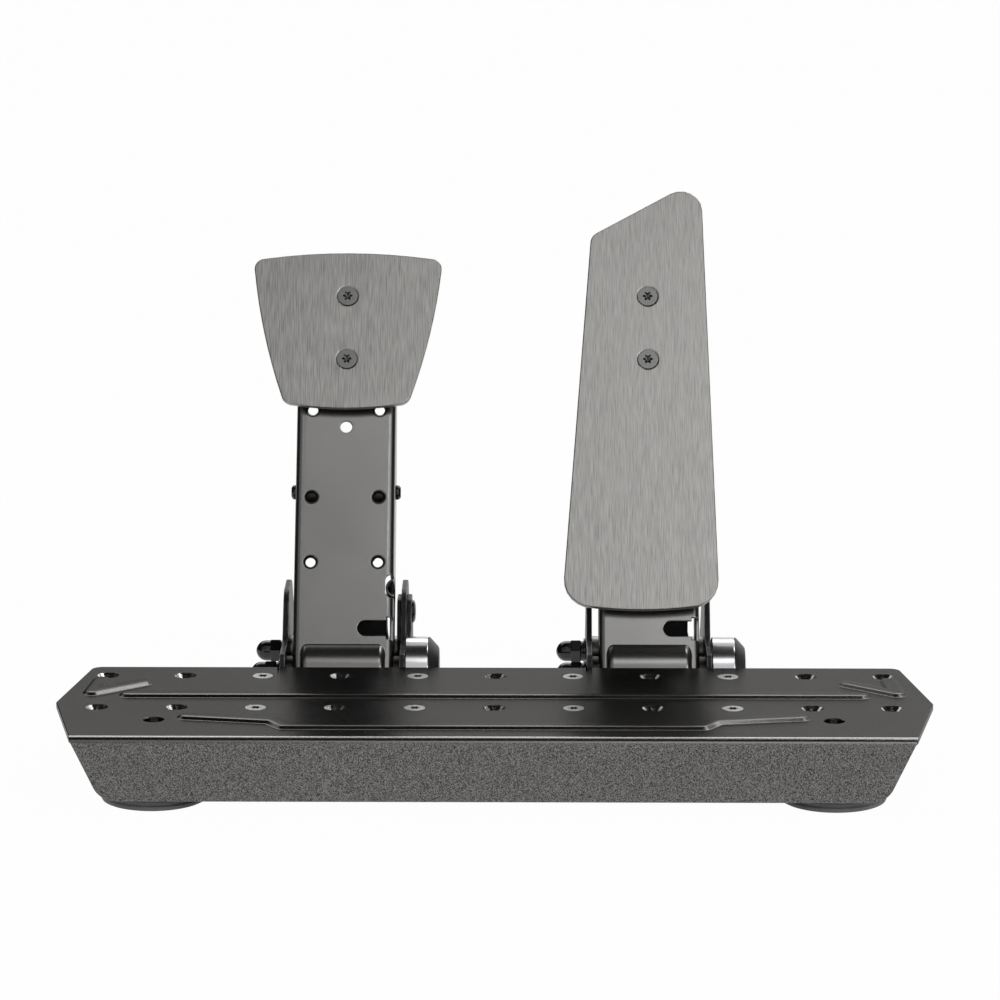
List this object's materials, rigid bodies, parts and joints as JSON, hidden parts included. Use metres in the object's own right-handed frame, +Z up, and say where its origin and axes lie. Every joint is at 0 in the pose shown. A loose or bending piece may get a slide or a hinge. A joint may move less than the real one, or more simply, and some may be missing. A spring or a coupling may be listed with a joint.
{
  "type": "sim racing pedal set",
  "caption": "Brake and throttle pedals on one folded heel plate, with sprung telescopic struts, pivot position sensors and rubber feet",
  "frame": {"origin": "on the floor under the middle of the whole set", "axes": "+X to the right along the heel plate, +Y away from the driver, +Z up"},
  "size_m": [0.3874, 0.2444, 0.2351],
  "materials": {
    "plate_sheet": "satin black powder coat, fine speckle on the front flange",
    "frame_sheet": "black powder coat",
    "arm_sheet": "satin grey coat",
    "brushed_plate": "brushed along its height",
    "zinc_screws": "bright zinc",
    "black_hardware": "glossy black",
    "turned_aluminium": "turned, bright",
    "bare_steel": "ground steel",
    "bearing_bronze": "plain bronze",
    "foot_rubber": "matt rubber",
    "black_moulding": "moulded black",
    "circuit_board": "green solder mask"
  },
  "bodies": {
    "base": {"heel_plate": "plate_sheet", "foot_bracket_left": "frame_sheet", "foot_bracket_right": "frame_sheet", "brake_frame": "frame_sheet", "throttle_frame": "frame_sheet", "brake_side_plate": "frame_sheet", "brake_inner_plate": "frame_sheet", "front_foot_left": "foot_rubber", "front_foot_right": "foot_rubber", "rear_foot_left": "foot_rubber", "rear_foot_right": "foot_rubber", "foot_inserts": "bearing_bronze", "pivot_bushes": "bearing_bronze", "foot_screws": "zinc_screws", "frame_screws": "zinc_screws", "frame_nuts": "zinc_screws", "box_screws": "zinc_screws", "sensor_screws": "zinc_screws", "rear_spacers": "zinc_screws", "box_pad": "black_moulding", "box_case": "black_moulding", "box_lid": "black_moulding", "brake_sensor_cap": "black_moulding", "throttle_sensor_cap": "black_moulding", "box_board": "circuit_board", "sensor_boards": "circuit_board", "box_socket": "turned_aluminium", "brake_sensor_housing": "turned_aluminium", "throttle_sensor_housing": "turned_aluminium", "rear_pins": "black_hardware", "rear_pin_nuts": "black_hardware", "brake_side_screw": "black_hardware"},
    "brake_pedal": {"brake_arm": "arm_sheet", "brake_cross_tube": "bare_steel", "brake_shaft": "bare_steel", "brake_shaft_nut": "black_hardware", "brake_magnet": "bare_steel", "brake_face": "brushed_plate", "brake_face_spacers": "frame_sheet", "brake_face_screws": "zinc_screws", "brake_strut_pin": "bare_steel"},
    "brake_strut_upper": {"brake_strut_head": "black_moulding", "brake_plunger": "bare_steel"},
    "brake_strut_lower": {"brake_strut_foot": "black_moulding", "brake_sleeve": "black_hardware", "brake_spring": "black_hardware"},
    "throttle_pedal": {"throttle_arm": "arm_sheet", "throttle_cross_tube": "bare_steel", "throttle_shaft": "bare_steel", "throttle_shaft_nut": "black_hardware", "throttle_magnet": "bare_steel", "throttle_face": "brushed_plate", "throttle_face_spacers": "frame_sheet", "throttle_face_screws": "zinc_screws", "throttle_strut_pin": "bare_steel"},
    "throttle_strut_upper": {"throttle_strut_head": "black_moulding", "throttle_plunger": "bare_steel"},
    "throttle_strut_lower": {"throttle_strut_foot": "black_moulding", "throttle_sleeve": "black_hardware", "throttle_spring": "black_hardware"}
  },
  "joints": [
    {"name": "brake_press", "type": "hinge", "parent": "base", "child": "brake_pedal", "pos_m": [-0.07, 0.01677, 0.028], "axis": [-1, 0, 0], "range_deg": [0, 12], "stiffness_Nm_per_rad": 200, "springref_deg": -2.86, "deforming": ["brake_spring"]},
    {"name": "brake_strut_swing", "type": "hinge", "parent": "base", "child": "brake_strut_lower", "pos_m": [-0.07, 0.05677, 0.028], "axis": [-1, 0, 0], "range_deg": [0, 13.23]},
    {"name": "brake_strut_nod", "type": "hinge", "parent": "brake_pedal", "child": "brake_strut_upper", "pos_m": [-0.07, 0.06158, 0.10257], "axis": [-1, 0, 0], "range_deg": [0, 1.18]},
    {"name": "throttle_press", "type": "hinge", "parent": "base", "child": "throttle_pedal", "pos_m": [0.07, 0.01677, 0.028], "axis": [-1, 0, 0], "range_deg": [0, 18], "stiffness_Nm_per_rad": 8, "springref_deg": -17.19, "deforming": ["throttle_spring"]},
    {"name": "throttle_strut_swing", "type": "hinge", "parent": "base", "child": "throttle_strut_lower", "pos_m": [0.07, 0.05677, 0.028], "axis": [-1, 0, 0], "range_deg": [0, 20.31]},
    {"name": "throttle_strut_nod", "type": "hinge", "parent": "throttle_pedal", "child": "throttle_strut_upper", "pos_m": [0.07, 0.06158, 0.10257], "axis": [-1, 0, 0], "range_deg": [0, 2.26]}
  ],
  "couplings": [
    {"joint": "brake_strut_swing", "follows": "brake_press", "ratio": 1.09},
    {"joint": "brake_strut_nod", "follows": "brake_press", "ratio": 0.09},
    {"joint": "throttle_strut_swing", "follows": "throttle_press", "ratio": 1.12},
    {"joint": "throttle_strut_nod", "follows": "throttle_press", "ratio": 0.12}
  ]
}
